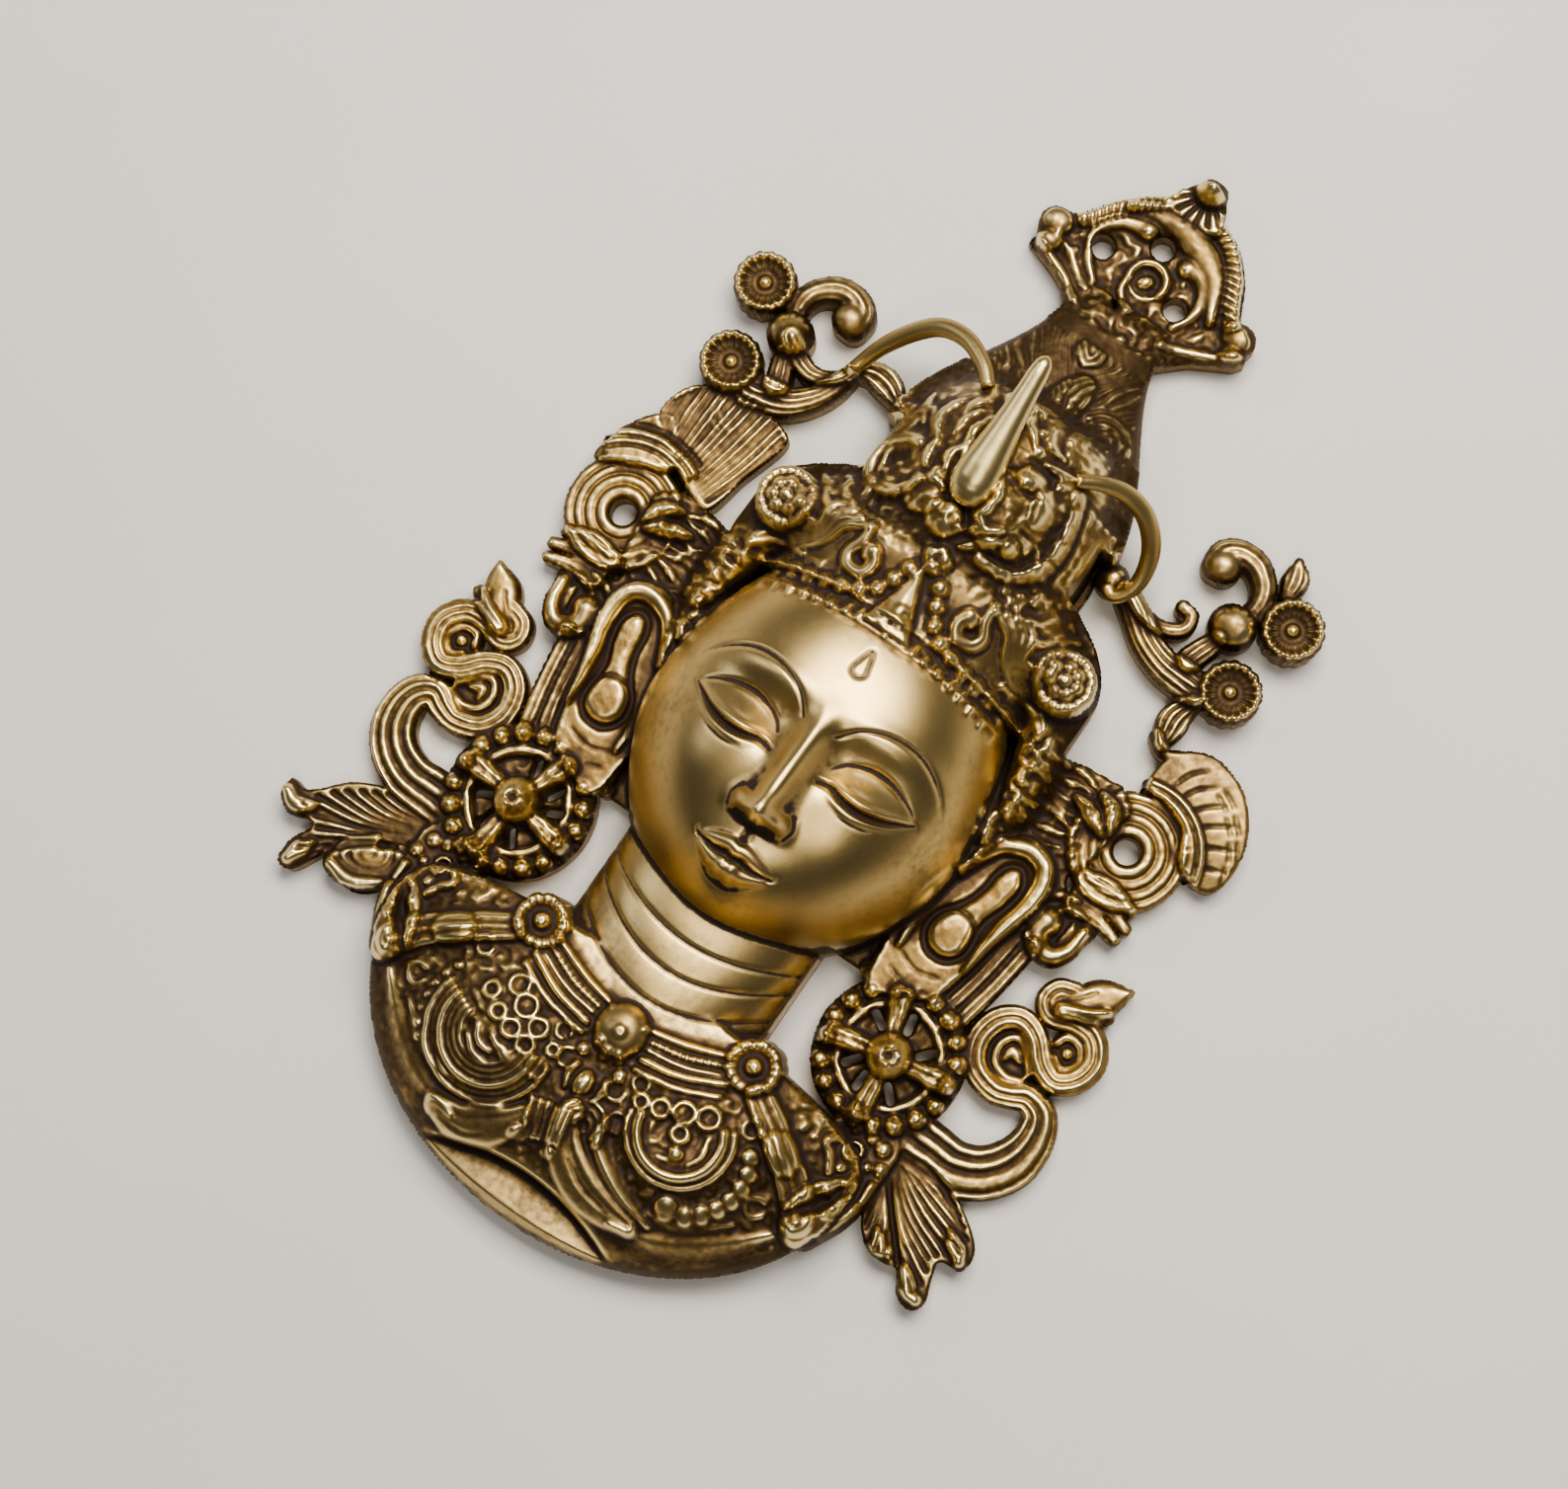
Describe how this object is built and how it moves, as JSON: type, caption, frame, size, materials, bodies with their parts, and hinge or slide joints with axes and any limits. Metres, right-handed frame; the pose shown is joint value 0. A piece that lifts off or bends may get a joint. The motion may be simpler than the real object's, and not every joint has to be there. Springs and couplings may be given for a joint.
{
  "type": "goddess face wall mask",
  "caption": "Hollow cast brass wall mask: a crowned goddess head on a cut-off bust, in a pierced border of scrolls, wheel earrings, fish rings and lotus sprays.",
  "frame": {"origin": "middle of the flat back plane: halfway across the width and halfway between the bust rim and the finial knob", "axes": "+X across to the mask's left ear as it faces you (right in a front view), +Y up towards the crown, +Z out of the face; the flat back rests on z = 0"},
  "size_m": [0.2374, 0.3498, 0.0755],
  "materials": {
    "brass": "cast brass, brushed and rubbed bright on the high places, brown patina in the recesses"
  },
  "bodies": {
    "root": {"mask": "brass"}
  },
  "joints": []
}
